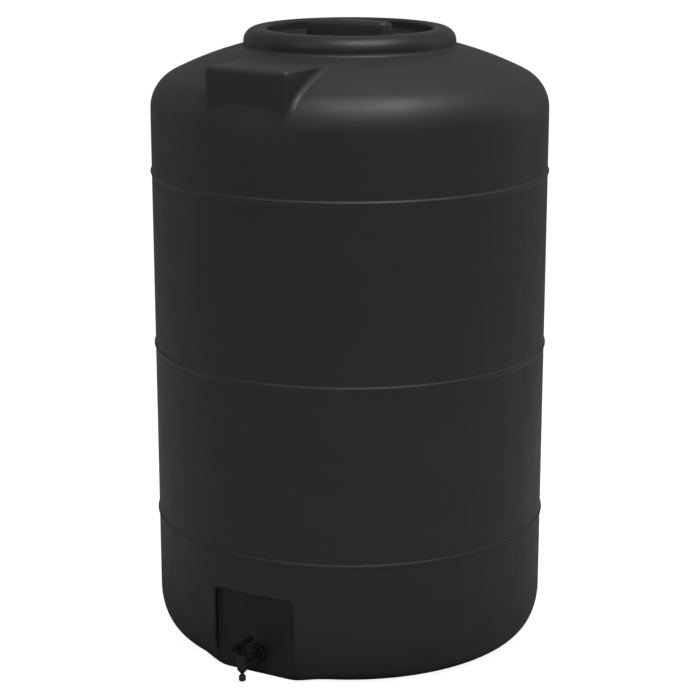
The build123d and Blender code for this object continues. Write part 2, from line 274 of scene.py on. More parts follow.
# Black rubber rings and washers: matt.
seal_rubber = moulded_plastic(
    "black_seal_rubber", "#131313", "#181818", roughness=(0.65, 0.8), grain_mm=0.8, grain_depth=0.01)

# %% [markdown]
# ## The tank as one surface
#
# The tank is a turned form with two flat features pressed into it, a raised boss on the shoulder and
# a recess for the tap. A boolean would leave hard, broken edges, so the skin is worked out directly.
# Columns are angles round the axis and rows are distances along the turned profile. Where the boss
# stands, the rows follow its face and top instead of the dome, and where a side wall crosses, the
# columns bunch up and walk over a rounded step.

# %% Tank sizes, in millimetres
tank_radius, wall = 380.0, 6.0
corner_width, corner_height = 43.0, 78.0
shoulder_start, shoulder_radius, shoulder_turn = 1033.7, 74.7, 63.46
dome_radius = 666.9
# Each rib's line, its depth, and how far its head, crest and foot lie above or below that line
rib_heights = (242.6, 580.6, 918.6)
rib_depth, rib_head, rib_crest, rib_foot = 2.6, 1.4, -3.2, -13.0
collar_radius, collar_top, collar_round, collar_side = 211.5, 1155.56, 6.2, 202.6
neck_radius, neck_wall, neck_top = 180.0, 6.0, 1177.36
print("tank", 2 * tank_radius, "mm across, neck", 2 * neck_radius, "mm across, up to", neck_top, "mm")

# %% Profile of the turned tank
corner_points, wall_points, shoulder_points, dome_points = 120, 4000, 200, 400
# The first point is the bottom's middle, so these are the places just past the wall and the dome.
wall_stop = corner_points + wall_points
dome_stop = wall_stop + shoulder_points + dome_points - 2
shoulder_centre = np.array([tank_radius - shoulder_radius, shoulder_start])
turn = radians(shoulder_turn)
dome_centre = shoulder_centre - (dome_radius - shoulder_radius) * np.array([cos(turn), sin(turn)])


def arc(centre, radius, start, end, count):
    """Points of a circle about centre, from angle start to end in degrees from outward."""
    angle = np.radians(np.linspace(start, end, count))
    return np.stack([centre[0] + radius * np.cos(angle), centre[1] + radius * np.sin(angle)], -1)


def bead(height):
    """Share of the ribs' depth at a height.

    A bead rises over a short steep S from its head down to its crest, and falls back over a long soft
    S to its foot. The share is the product of the two, summed over the ribs.
    """
    return sum(smooth_step((rib_head - height + rib) / (rib_head - rib_crest))
               * smooth_step((height - rib - rib_foot) / (rib_crest - rib_foot)) for rib in rib_heights)


def turned_profile(inset, ribs, top_radius, closing):
    """Dense (radius, height) points of the turned skin, and the distance along it at each point.

    A bottom line, a quarter ellipse, the wall with its beads, the shoulder's arc, the dome's arc up to
    top_radius, and the closing points.
    """
    quarter = np.linspace(-pi / 2, 0, corner_points)
    corner = np.stack([
        tank_radius - corner_width + (corner_width - inset) * np.cos(quarter),
        corner_height + (corner_height - inset) * np.sin(quarter)], -1)
    height = np.linspace(corner_height, shoulder_start, wall_points)
    relief = rib_depth * bead(height) if ribs else 0 * height
    side = np.stack([tank_radius - inset + relief, height], -1)
    shoulder = arc(shoulder_centre, shoulder_radius - inset, 0, shoulder_turn, shoulder_points)
    large = dome_radius - inset
    end = np.degrees(np.arccos((top_radius - dome_centre[0]) / large))
    dome = arc(dome_centre, large, shoulder_turn, end, dome_points)
    points = np.vstack([[[1.0, inset]], corner, side[1:], shoulder[1:], dome[1:], closing])
    steps = np.hypot(*np.diff(points, axis=0).T)
    return points, np.concatenate([[0], np.cumsum(steps)])


def at_distance(profile, along, s):
    """Radius and height at distances s along a dense profile."""
    return np.interp(s, along, profile[:, 0]), np.interp(s, along, profile[:, 1])


print("the ribs stand out by", rib_depth, "mm at heights", [round(rib + rib_crest, 1) for rib in rib_heights])

# %% [markdown]
# ### Rounded steps
#
# A step in a moulded skin is a wall with a rounded lip and a rounded foot. Seen in section it is a
# line, an arc, a line, an arc and a line. If points are spread evenly along that section, a plain
# grid turns into a crisp wall with soft edges, however high the wall is at each place.

# %% Section of a rounded step
def step_section(q, height, lip, foot, inner, outer):
    """Section of a step at share q (0 on the high side, 1 on the low side) of its length.

    The high side begins inner before the wall's line, and the low side ends outer after it. lip and
    foot are the radii of the convex and concave rounds. Each turns by the same angle a, a right angle
    where the wall is high enough, else such that (lip + foot) * (1 - cos a) = height.
    Returns the distance past the wall's line, and the share of the height that is left.
    """
    height = np.maximum(height, 1e-6)
    rounds = lip + foot
    most = np.arccos(np.clip(1 - height / rounds, 0, 1))
    straight = np.maximum(height - rounds, 0)
    run = -lip + rounds * np.sin(most)
    lengths = [inner - lip + 0 * height, lip * most, straight, foot * most, outer - run]
    ends = np.cumsum(np.stack(np.broadcast_arrays(*lengths)), axis=0)
    s = q * ends[-1]
    a1 = np.clip((s - ends[0]) / lip, 0, most)
    a2 = np.clip((s - ends[2]) / foot, 0, most)
    across = np.minimum(s - inner, -lip) + lip * np.sin(a1)
    across += foot * (np.sin(most) - np.sin(most - a2)) + np.maximum(s - ends[3], 0)
    down = lip * (1 - np.cos(a1)) + np.clip(s - ends[1], 0, straight)
    down += foot * (np.cos(most - a2) - np.cos(most))
    return across, np.clip(1 - down / height, 0, 1)


half_way = step_section(0.5, 20.0, 5.0, 5.0, 10.0, 10.0)
print("half way over a 20 mm step:", round(float(half_way[1]), 3), "of its height is left")

# %% [markdown]
# ### The boss
#
# A flat upright face on a round shoulder gives a fitting something to seal on. Its skin is worked out
# twice, once as the plain shoulder and dome and once as the boss's own face and top, and a rounded
# step leads from one to the other at each side.

# %% Boss sizes, and its curve in section
boss_face, boss_half, boss_top, boss_turn = 364.5, 87.3, 1143.2, radians(-1.05)
boss_inner, boss_outer, boss_round, boss_lip, boss_foot_round = 14.0, 19.0, 8.5, 8.0, 11.0
# The boss's line is looked for above this height, where the profile's radius only shrinks.
above_ribs = 978.0


def boss_curve(q, face, top, start_height, end_depth):
    """Front and top of the boss in an upright plane, by share q of its length: (depth, height).

    Up the flat face, round the top edge, and back along the flat top to the dome.
    """
    rise = top - boss_round - start_height
    back = face - boss_round - end_depth
    s = q * (rise + pi / 2 * boss_round + back)
    turned = np.clip((s - rise) / boss_round, 0, pi / 2)
    beyond = np.maximum(s - rise - pi / 2 * boss_round, 0)
    depth = face - boss_round * (1 - np.cos(turned)) - beyond
    height = start_height + np.minimum(s, rise) + boss_round * np.sin(turned)
    return depth, height


def boss_limits(profile, along, top_radius, inset, x):
    """Where the boss starts along the profile at each x, where it ends, and the dome's radius there.

    Its face leaves the shoulder where the skin's radius is hypot(face, x), and its top meets the dome
    where the skin is as high as the top.
    """
    upper = (profile[:, 1] > above_ribs) & (profile[:, 0] > top_radius + 1e-6)
    radius, height = profile[upper].T
    start = np.interp(np.hypot(boss_face - inset, x), radius[::-1], along[upper][::-1])
    end = np.interp(boss_top - inset, height, along[upper])
    return start, end, np.interp(boss_top - inset, height, radius)


print("boss", 2 * boss_half, "mm wide, its face", boss_face, "mm from the axis")


# %% The boss's rows
def boss_skin(profile, along, limits, edge_start, inset, q, x_near):
    """(x, depth, height) over the boss for columns at x_near, by share q of the rows' length.

    The step's height is the gap between dome and boss in the plane of the boss's side, where the
    rows begin at edge_start. Its section moves each column across and says how much of the boss is
    left there, and that share mixes the dome's point with the boss's own.
    """
    face, half, top = boss_face - inset, boss_half - inset, boss_top - inset
    start, end, end_radius = limits
    foot_radius, foot_height = at_distance(profile, along, start[None, :] + q * (end - start[None, :]))

    edge_radius, edge_height = at_distance(profile, along, edge_start + q * (end - edge_start))
    edge_depth = np.sqrt(edge_radius ** 2 - half ** 2)
    first_height = np.interp(edge_start, along, profile[:, 1])
    last_depth = np.sqrt(end_radius ** 2 - half ** 2)
    wall_depth, wall_height = boss_curve(q, face, top, first_height, last_depth)
    step = np.hypot(wall_depth - edge_depth, wall_height - edge_height)

    aside = np.abs(x_near[None, :])
    share = np.clip((aside - half + boss_inner) / (boss_inner + boss_outer), 0, 1)
    across, left = step_section(share, step, boss_lip, boss_foot_round, boss_inner, boss_outer)
    in_band = (share > 0) & (share < 1)
    x = np.sign(x_near)[None, :] * np.where(in_band, half + across, aside)
    left = np.where(aside <= half - boss_inner, 1, left)

    plain_depth = np.sqrt(np.maximum(foot_radius ** 2 - x ** 2, 0))
    start_height = np.interp(start, along, profile[:, 1])[None, :]
    back_depth = np.sqrt(end_radius ** 2 - x ** 2)
    own_depth, own_height = boss_curve(q, face, top, start_height, back_depth)
    depth = plain_depth + left * (own_depth - plain_depth)
    return x, depth, foot_height + left * (own_height - foot_height)


print("the boss's sides have rounds of", boss_lip, "and", boss_foot_round, "mm")

# %% [markdown]
# ### The recess
#
# The tap needs a flat wall, so the mould presses an upright panel into the round foot. The outline is
# a strip with two round upper corners. Points near it move along the outline's normal onto a rounded
# step, and those inside drop to the flat face. At the base the face runs straight down to a small
# edge, and the round corner beside it swells out to meet it.

# %% Recess sizes, and the distance from its outline
recess_face, recess_half, recess_top, recess_corner = 355.3, 85.2, 163.4, 12.0
recess_inner, recess_outer, recess_foot_round, recess_lip = 7.5, 9.0, 3.0, 6.5
# How far round the outline the skin is looked at, and the round where the face meets the shallow skin
recess_reach, meet_round = 60.0, 2.0


def outline_distance(x, height, inset):
    """Distance outside the outline, below 0 inside it, and the outward direction: (distance, across, up).

    Past a round corner's centre it is the distance from that centre less the corner's radius, and
    elsewhere the distance from the nearer straight side.
    """
    half_width, top_line, corner = recess_half + inset, recess_top + inset, recess_corner + inset
    out_x = np.abs(x) - (half_width - corner)
    out_z = height - (top_line - corner)
    past_x, past_z = np.maximum(out_x, 0), np.maximum(out_z, 0)
    length = np.hypot(past_x, past_z)
    distance = length + np.minimum(np.maximum(out_x, out_z), 0) - corner
    to_x = np.where(length > 0, past_x / np.maximum(length, 1e-9), out_x > out_z)
    to_z = np.where(length > 0, past_z / np.maximum(length, 1e-9), out_x <= out_z)
    return distance, to_x, to_z


print("recess", 2 * recess_half, "mm wide and", recess_top, "mm high")


# %% The recess's rounded step and flat face
def sink_recess(profile, inset, radius, x, depth, height):
    """(x, depth, height) with the recess pressed in, for points of the turned skin.

    The step's height is what the round skin stands proud of the flat face at the nearest point of the
    outline. The root of over squared plus meet_round squared rounds off the place where the two meet.
    """
    face_depth = recess_face - inset
    wall_part = profile[:wall_stop]
    distance, to_x, to_z = outline_distance(x, height, inset)
    ahead = (depth > 0) & (height < recess_top + recess_reach) & (np.abs(x) < recess_half + recess_reach)

    line_x = np.abs(x) - distance * to_x
    line_radius = np.interp(height - distance * to_z, wall_part[:, 1], wall_part[:, 0])
    fall = np.sqrt(np.maximum(line_radius ** 2 - line_x ** 2, 0)) - face_depth
    share = np.clip((distance + recess_inner) / (recess_inner + recess_outer), 0, 1)
    across, left = step_section(1 - share, np.maximum(fall, 0), recess_lip, recess_foot_round,
                                recess_outer, recess_inner)

    in_band = ahead & (share > 0) & (share < 1) & (fall > 0)
    shift = np.where(in_band, -across - distance, 0)
    new_x = np.abs(x) + shift * to_x
    new_height = height + shift * to_z
    new_radius = np.interp(new_height, wall_part[:, 1], wall_part[:, 0])
    skin_depth = np.sqrt(np.maximum(np.where(in_band, new_radius, radius) ** 2 - new_x ** 2, 0))
    sunk = np.where(share >= 1, 0, np.where(share <= 0, 1, 1 - left))
    over = np.maximum(skin_depth - face_depth, 0)
    flat_depth = skin_depth - sunk * (np.sqrt(over ** 2 + meet_round ** 2) - meet_round)

    use = ahead & (share < 1)
    return (np.where(use, np.sign(x) * new_x, x), np.where(use, flat_depth, depth),
            np.where(use, new_height, height))


print("the recess is up to", round(tank_radius - recess_face, 1), "mm deep")

# %% The recess's foot
recess_edge, swell_radius = 3.0, 360.0
# The swell beside the recess fades over swell_fade, and is gone swell_reach past the recess's side.
swell_reach, swell_fade, swell_limit = 58.0, 70.0, 150.0


def run_out_foot(along, s, inset, x, depth, height):
    """(depth, height) with the recess's face run down to a small edge at the base.

    By the share of the bottom corner that a point has climbed, it lies on a line out from the
    corner's start, an arc of recess_edge, and the upright face. The swell that this makes beside the
    recess keeps inside swell_radius.
    """
    face_depth = recess_face - inset
    climb = np.clip((s - along[1]) / (along[corner_points] - along[1]), 0, 1)
    aside = np.minimum(np.abs(x), swell_limit)
    start_depth = np.sqrt((tank_radius - corner_width) ** 2 - aside ** 2)
    line = face_depth - recess_edge - start_depth
    path = climb * (line + pi / 2 * recess_edge + corner_height - inset - recess_edge)
    turned = np.clip((path - line) / recess_edge, 0, pi / 2)
    foot_depth = start_depth + np.minimum(path, line) + recess_edge * np.sin(turned)
    foot_depth = np.minimum(foot_depth, np.sqrt((swell_radius - inset) ** 2 - aside ** 2))
    upright = np.maximum(path - line - pi / 2 * recess_edge, 0)
    foot_height = inset + recess_edge * (1 - np.cos(turned)) + upright
    weight = smooth_step((recess_half + swell_reach - np.abs(x)) / swell_fade)
    weight = np.where((depth > 0) & (climb > 0) & (climb < 1), weight, 0)
    depth = depth + weight * np.maximum(foot_depth - depth, 0)
    return depth, height + weight * (foot_height - height)


print("at the base the face ends in a round of", recess_edge, "mm")

# %% [markdown]
# ### The thread
#
# The lid screws onto a coarse right-handed thread. It could be a ridge swept along a helix, but the
# neck's own grid is fine enough to be pushed out where the ridge runs, which leaves one clean skin.

# %% Thread sizes and ridge
thread_pitch, thread_width, thread_depth = 12.0, 4.6, 3.6
thread_flank, thread_fade = 1.4, 2.0
# The ridge on the neck keeps this far above the collar and below the neck's edge
thread_above, thread_below = 2.5, 2.0


def thread(angle, height, low, high):
    """Share of a ridge's depth at an angle and height, on a right-handed helix of thread_pitch.

    The distance from the ridge's middle is the height less pitch * angle / (2 pi), wrapped to half a
    pitch either way. The ridge has soft flanks, and fades out over thread_fade at low and high.
    """
    off = (height - thread_pitch * angle / (2 * pi)) % thread_pitch - thread_pitch / 2
    ridge = smooth_step((thread_width / 2 + thread_flank / 2 - np.abs(off)) / thread_flank)
    return ridge * smooth_step((height - low) / thread_fade) * smooth_step((high - height) / thread_fade)


print("thread:", thread_depth, "mm deep,", thread_pitch, "mm a turn")

# %% [markdown]
# ### The whole skin
#
# The parts above are put together in one function, used for the outer skin and again, inset by the
# wall, for the inner one. Between them the skin is a closed shell with an even wall.

# %% From angles and distances to the skin
# Columns keep their x up to dense_end from the middle, and relax to plain angles by relax_end.
dense_end, relax_end = 112.0, radians(70)
# Near the neck they relax over top_relax of radius, and neck_guard keeps their angle small enough there.
top_relax, neck_guard = 20.0, 40.0
# The rows below the boss bend to its foot over lead_in, and the boss's slip of the mould fades below.
lead_in, twist_start, twist_length = 70.0, 260.0, 700.0


def column_angles(radius, x_near, angles):
    """Angle of each point: a column keeps its x over the boss, and is a plain angle elsewhere.

    The bend is arcsin(x / radius) less the plain angle, faded by the radius and round the tank.
    """
    edge = np.arcsin(dense_end / tank_radius)
    keep = smooth_step((radius - collar_radius) / top_relax)
    safe = np.maximum(radius, dense_end + neck_guard)
    bend = np.arcsin(np.clip(x_near / safe, -1, 1)) - np.arcsin(x_near / tank_radius)
    from_front = np.abs(np.where(angles > pi, angles - 2 * pi, angles))
    fade = 1 - smooth_step((from_front - edge) / (relax_end - edge))
    return angles[None, :] + keep * bend * np.where(radius < tank_radius - 1, fade[None, :], 0)


def tank_skin(inset, ribs, top_radius, closing, lower_rows, boss_shares, crown_rows, angles):
    """Points of the tank's outer skin, or of its inner one at inset 6, from the bottom's middle up.

    lower_rows are distances along the profile up to the boss, boss_shares the rows over the boss
    by share, and crown_rows the distances left after it, measured from its end.
    """
    profile, along = turned_profile(inset, ribs, top_radius, closing)
    front = np.cos(angles) > 0
    near = np.clip(tank_radius * np.sin(angles), -dense_end, dense_end)
    x_near = np.where(front, near, np.sign(np.sin(angles)) * dense_end)
    half = boss_half - inset
    aside = np.abs(x_near)
    limits = boss_limits(profile, along, top_radius, inset, np.minimum(aside, half + boss_outer))
    edge_start = boss_limits(profile, along, top_radius, inset, half)[0]
    start, end = limits[:2]

    # Distance along the profile of every point
    lower = lower_rows[:, None]
    bend_in = smooth_step((lower - lower_rows[-1] + lead_in) / lead_in)
    lead = lower + bend_in * (start[None, :] - lower_rows[-1])
    body = start[None, :] + boss_shares[:, None] * (end - start[None, :])
    crown = np.broadcast_to(end + crown_rows[:, None], (len(crown_rows), len(angles)))
    s = np.vstack([lead, body[1:], crown[1:]])
    radius, height = at_distance(profile, along, s)
    theta = column_angles(radius, x_near, angles)
    x, depth = radius * np.sin(theta), radius * np.cos(theta)

    # The boss
    low = len(lower_rows) - 1
    high = low + len(boss_shares)
    inside = front[None, :] & (aside[None, :] < half + boss_outer)
    boss = boss_skin(profile, along, limits, edge_start, inset, boss_shares[:, None], x_near)
    for values, on_boss in zip((x, depth, height), boss):
        values[low:high] = np.where(inside, on_boss, values[low:high])

    # The recess and its foot
    x, depth, height = sink_recess(profile, inset, radius, x, depth, height)
    depth, height = run_out_foot(along, s, inset, x, depth, height)

    # The thread stands on the outside of the neck
    if ribs:
        neck = (radius > neck_radius - 0.5) & (radius < neck_radius + 0.5)
        ridge = thread(
            np.arctan2(-depth, x), height, collar_top + thread_above, neck_top - thread_below)
        grown = 1 + np.where(neck, thread_depth * ridge, 0) / radius
        x, depth = x * grown, depth * grown

    # The boss is turned a little aside, and the plain wall below takes up the twist
    twist = boss_turn * smooth_step((height - twist_start) / twist_length)
    y = -depth
    turned_x = x * np.cos(twist) - y * np.sin(twist)
    turned_y = x * np.sin(twist) + y * np.cos(twist)
    return np.stack([turned_x, turned_y, height], -1)


# %% Columns of the tank
# Degrees from the front, with their steps, for the part behind the dense columns
plain_stops = (
    (17.14, 0.25), (18.4, 0.6), (22, 1.2), (28, 2.3),
    (332, 1.2), (338, 0.6), (341.6, 0.25), (342.86, 1.0))
plain_columns = np.radians(graded(*plain_stops)[1:-1])
# Millimetres across the front, closest together where the boss's and the recess's sides cross
band = graded((74, 0.9), (dense_end, 1.0))
middle = graded((-74, 1.6), (-68, 3.0), (-58, 6.0), (58, 3.0), (68, 1.6), (74, 1.0))
front_x = np.concatenate([-band[::-1], middle[1:-1], band])
front_angles = np.arcsin(front_x / tank_radius)
angles = np.concatenate([front_angles, plain_columns])
print("columns:", len(angles))

# %% The collar and the neck
# The dome runs up to the lid's foot on one hollow curve, as a mould with a small fillet leaves it.
crisp_edge, neck_fillet, neck_edge = 0.4, 1.5, 1.0
dome_reach = collar_radius - 3.8
outer_closing = np.vstack([
    arc((collar_side + collar_round, collar_top - crisp_edge), collar_round, 255, 180, 14),
    arc((collar_side - crisp_edge, collar_top - crisp_edge), crisp_edge, 0, 90, 5),
    [[neck_radius + neck_fillet, collar_top]],
    arc((neck_radius + neck_fillet, collar_top + neck_fillet), neck_fillet, 270, 180, 8),
    arc((neck_radius - neck_edge, neck_top - neck_edge), neck_edge, 0, 90, 8),
    [[neck_radius - neck_wall + neck_edge, neck_top]]])
profile, along = turned_profile(0, True, dome_reach, outer_closing)
print("the outer profile is", round(float(along[-1])), "mm long")


# %% Rows of the outer skin
def distance_at(height):
    """Distance along the outer profile at a height on the corner or wall."""
    return float(np.interp(height, profile[1:wall_stop, 1], along[1:wall_stop]))


rib_stops = []
for rib in rib_heights:
    at = distance_at(rib)
    rib_stops += [(at - 15, 1.3), (at - 4, 0.6), (at + 3, 24.0)]
lower_rows = graded(
    (0, 60), (along[1] - 20, 4), (along[1] + 8, 0.9), (distance_at(9), 1.8), (distance_at(30), 4.0),
    (distance_at(corner_height), 8.0), (distance_at(recess_top - 10), 0.9),
    (distance_at(recess_top + 12), 12.0), *rib_stops, (distance_at(1020), 10))
boss_shares = graded((0, 0.006), (0.03, 0.018), (0.32, 0.006), (0.42, 0.018), (0.96, 0.008), (1.0, 1))
boss_end = float(np.interp(boss_top, profile[wall_stop:dome_stop, 1], along[wall_stop:dome_stop]))
crown_length = along[-1] - boss_end
crown_rows = graded(
    (0, 3.0), (12, 8.0), (crown_length - 66, 1.0), (crown_length - 58, 0.4),
    (crown_length - 46, 1.0), (crown_length, 1.0))
outer = tank_skin(0, True, dome_reach, outer_closing, lower_rows, boss_shares, crown_rows, angles)
print("outer rows:", len(outer))

# %% The inner skin
# No one sees inside, so its rows are wider apart, and it has no ribs and no thread.
mouth = neck_radius - neck_wall
inner_closing = np.vstack([
    [[mouth, neck_top - neck_edge]], arc((mouth + neck_edge, neck_top - neck_edge), neck_edge, 180, 90, 6)])
inner_lower = graded(
    (0, 60), (330, 9), (distance_at(corner_height), 14), (distance_at(160), 3.0),
    (distance_at(180), 40), (distance_at(1010), 10))
inner_shares = graded((0, 0.04), (1.0, 1))
inner_profile, inner_along = turned_profile(wall, False, mouth, inner_closing)
rising = inner_profile[:, 1] > 1000
inner_end = float(np.interp(boss_top - wall, inner_profile[rising][:, 1], inner_along[rising]))
inner_crown = graded((0, 8.0), (inner_along[-1] - inner_end, 1.0))
inner = tank_skin(wall, False, mouth, inner_closing, inner_lower, inner_shares, inner_crown, angles)
print("inner rows:", len(inner))

# %% The tank as one closed piece
tank = grid_mesh("tank_moulding", np.concatenate([outer, inner[::-1]]), tank_plastic)
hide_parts("tank_shell")
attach(tank, "tank")

# %% [markdown]
# ## The lid
#
# The lid is one moulding: a fat rounded rim, a sunken pan, and a hollow grip across the pan that a
# hand or a bar can turn. Its skin is again one grid. Near the middle each row is the grip's plan, a
# rectangle with round ends, and on the pan's floor the rows change step by step into circles.

# %% Lid sizes, in millimetres
lid_radius, lid_wall, lid_top, lid_foot = 202.0, 4.0, neck_top + 7.0, collar_top + 0.2
edge_round, lip_round, pan_radius, pan_floor, pan_round = 25.0, 6.0, 157.8, neck_top - 14.3, 4.0
sleeve_radius, sleeve_wall, sleeve_foot, seal_margin = 184.5, 3.0, lid_foot + 2.0, 0.6
grip_length, grip_width, grip_corner, grip_top = 180.0, 50.0, 23.0, lid_top + 12.19
grip_draft, grip_round, grip_foot_round, grip_turn = radians(12), 8.0, 3.0, radians(5.5)
side_steepening = 0.12
lid_columns = 288
print("lid", 2 * lid_radius, "mm across, its rim's top at", round(lid_top, 2), "mm")


# %% Plan of the grip
def slot_plan(count):
    """Points and outward normals of the grip's plan, at equal steps round it from its +X end.

    The plan is a rectangle less its corners, plus a quarter circle of grip_corner at each.
    """
    half_x, half_y = grip_length / 2 - grip_corner, grip_width / 2 - grip_corner
    turns = np.concatenate([np.linspace(k * pi / 2, (k + 1) * pi / 2, 40) for k in range(4)])
    signs = np.repeat([[1, 1], [-1, 1], [-1, -1], [1, -1]], 40, axis=0)
    normals = np.stack([np.cos(turns), np.sin(turns)], -1)
    points = signs * [half_x, half_y] + grip_corner * normals
    start, ahead = np.array([[grip_length / 2, 0.0]]), np.array([[1.0, 0.0]])
    points, normals = np.vstack([start, points, start]), np.vstack([ahead, normals, ahead])
    lengths = np.concatenate([[0], np.cumsum(np.hypot(*np.diff(points, axis=0).T))])
    at = np.linspace(0, lengths[-1], count, endpoint=False)
    pick = [np.interp(at, lengths, values) for values in (*points.T, *normals.T)]
    return np.stack(pick[:2], -1), np.stack(pick[2:], -1)


def slot_rows(insets, heights):
    """Rows whose plan is the grip's, moved inwards by insets, at heights.

    The width shrinks a little more towards the pan, by side_steepening of it at the pan's floor.
    """
    insets, heights = np.array(insets), np.array(heights)
    plan, normal = slot_plan(lid_columns)
    flat = plan[None] - insets[:, None, None] * normal[None]
    low = np.clip((grip_top - grip_round - heights) / (grip_top - grip_round - pan_floor), 0, 1)
    flat[..., 1] *= 1 - side_steepening * low[:, None]
    upright = np.broadcast_to(heights[:, None, None], (*flat.shape[:2], 1))
    return np.concatenate([flat, upright], -1)


print("grip", grip_length, "by", grip_width, "mm at its foot, before its sides are steepened")


# %% Circles, and rows between two others
def ring_rows(section):
    """Rows that are circles, from (radius, height) points."""
    angle = np.linspace(0, 2 * pi, lid_columns, endpoint=False)
    section = np.array(section)
    radius, height = section[:, :1], section[:, 1:]
    return np.stack([radius * np.cos(angle), radius * np.sin(angle), height + 0 * angle], -1)


def between(first, last, shares):
    """Rows at shares of the way from one row to another."""
    shares = np.array(shares)[:, None, None]
    return first[None] * (1 - shares) + last[None] * shares


print("a lid row has", lid_columns, "points")


# %% The grip's side and foot
def grip_section(inset, rounding):
    """Insets and heights down the grip's side from its flat top, for a wall moved in by inset.

    An arc turns from the flat top to the side's draft, where the side's line has its inset.
    """
    base, top = pan_floor - lid_wall, grip_top - inset
    turned = np.linspace(pi / 2, grip_draft, 9)
    side_z = top - rounding + rounding * np.sin(grip_draft)
    centre = inset + (side_z - base) * np.tan(grip_draft) + rounding * cos(grip_draft)
    return centre - rounding * np.cos(turned), top - rounding + rounding * np.sin(turned)


top_insets, top_heights = grip_section(0, grip_round)
foot_height = pan_floor + grip_foot_round
foot_inset = (foot_height - pan_floor + lid_wall) * np.tan(grip_draft) - grip_foot_round / cos(grip_draft)
foot_turn = np.linspace(-grip_draft, -pi / 2, 6)
side_insets = np.linspace(top_insets[-1], foot_inset + grip_foot_round * cos(grip_draft), 6)
side_heights = np.linspace(top_heights[-1], foot_height - grip_foot_round * np.sin(grip_draft), 6)
grip = slot_rows(
    np.concatenate([top_insets, side_insets[1:-1], foot_inset + grip_foot_round * np.cos(foot_turn)]),
    np.concatenate([top_heights, side_heights[1:-1], foot_height + grip_foot_round * np.sin(foot_turn)]))
print("grip rows:", len(grip))

# %% The pan's edge and the rim
# The rim is one fat round, and its foot flares by a hair, so that no dark crack shows at the collar.
rim_height = lid_top - edge_round
flare, flare_points = 0.3, 9
flare_height = np.linspace(lid_foot + 4.5, lid_foot + 0.3, flare_points)
flare_angle = np.degrees(np.arcsin((flare_height[0] - rim_height) / edge_round))
flare_rise = np.maximum(flare_height - rim_height, 0)
flare_radius = lid_radius - edge_round + np.sqrt(edge_round ** 2 - flare_rise ** 2)
flare_radius += flare * np.linspace(0, 1, flare_points) ** 2
outer_rim = np.vstack([
    arc((pan_radius - pan_round, pan_floor + pan_round), pan_round, -90, 0, 7),
    arc((pan_radius + lip_round, lid_top - lip_round), lip_round, 180, 90, 10),
    [[lid_radius - edge_round - 4, lid_top]],
    arc((lid_radius - edge_round, rim_height), edge_round, 90, flare_angle, 26),
    np.stack([flare_radius, flare_height], -1)[1:],
    [[flare_radius[-1] - 0.3, lid_foot], [flare_radius[-1] - 1.5, lid_foot]]])
print("rim rows:", len(outer_rim))

# %% Inside the rim: the skirt, a slope, and the sleeve with its thread
skirt, under_rim = lid_radius - lid_wall, lid_top - lid_wall
slope = skirt - neck_radius - seal_margin
slope_foot = under_rim - slope
sleeve_side = sleeve_radius + sleeve_wall
# Up the skirt, along the slope and down the sleeve's outside, with each corner eased a little
ease = 0.4
inner_rim = np.array([
    [skirt + ease, lid_foot], [skirt, lid_foot + ease], [skirt, lid_foot + 3], [skirt, slope_foot - 0.5],
    [skirt - ease, slope_foot + ease],
    [sleeve_side + ease, slope_foot + skirt - sleeve_side - ease],
    [sleeve_side, sleeve_foot + 12], [sleeve_side, sleeve_foot + 0.5], [sleeve_side - 0.5, sleeve_foot]])
thread_heights = np.arange(sleeve_foot + 0.5, slope_foot + skirt - sleeve_radius - 0.5, 0.8)
sleeve = ring_rows(np.stack([np.full(len(thread_heights), sleeve_radius), thread_heights], -1))
around_sleeve = np.arctan2(sleeve[..., 1], sleeve[..., 0]) + grip_turn
# The lid's ridge lies half a pitch away from the neck's, so the two pass each other.
half_pitch = thread_pitch / 2
ridge = thread(around_sleeve, sleeve[..., 2] + half_pitch, sleeve_foot + 1.5 + half_pitch,
               under_rim - 4.0 + half_pitch)
sleeve[..., :2] *= (1 - thread_depth * ridge / sleeve_radius)[..., None]
print("sleeve rows:", len(sleeve))

# %% The underside and the hollow of the grip
pan_outside = pan_radius + lid_wall
under_rows = ring_rows([
    [skirt - slope + ease, under_rim - ease], [skirt - slope - ease, under_rim],
    [pan_outside + 0.5, under_rim], [pan_outside, under_rim - 0.5],
    [pan_outside, pan_floor + 0.5], [pan_outside - 0.5, pan_floor - 0.5],
    [pan_radius, pan_floor - lid_wall]])
hollow_insets, hollow_heights = grip_section(lid_wall, 2.0)
hollow_insets = np.append(hollow_insets, lid_wall)[::-1]
hollow_heights = np.append(hollow_heights, pan_floor - lid_wall)[::-1]
hollow = slot_rows(hollow_insets, hollow_heights)
print("underside rows:", len(under_rows) + len(hollow))

# %% The lid as one closed piece
middle_top = np.array([0, 0, grip_top])[None]
middle_under = middle_top + [0, 0, -lid_wall]
floor_edge = ring_rows([[pan_radius - pan_round, pan_floor]])[0]
lid_points = np.concatenate([
    between(middle_top + 0 * grip[0], grip[0], [0.05, 0.3, 0.6, 0.85]), grip,
    between(grip[-1], floor_edge, [0.03, 0.12, 0.3, 0.55, 0.8, 0.94]),
    ring_rows(outer_rim), ring_rows(inner_rim), sleeve, under_rows,
    between(under_rows[-1], hollow[0], [0.2, 0.5, 0.8, 0.97]), hollow,
    between(hollow[-1], middle_under + 0 * hollow[-1], [0.3, 0.7, 0.95])])
spin = np.array([[cos(grip_turn), sin(grip_turn), 0], [-sin(grip_turn), cos(grip_turn), 0], [0, 0, 1]])
lid = grid_mesh("lid_moulding", (lid_points @ spin)[::-1], lid_plastic)
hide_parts("lid")
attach(lid, "lid")

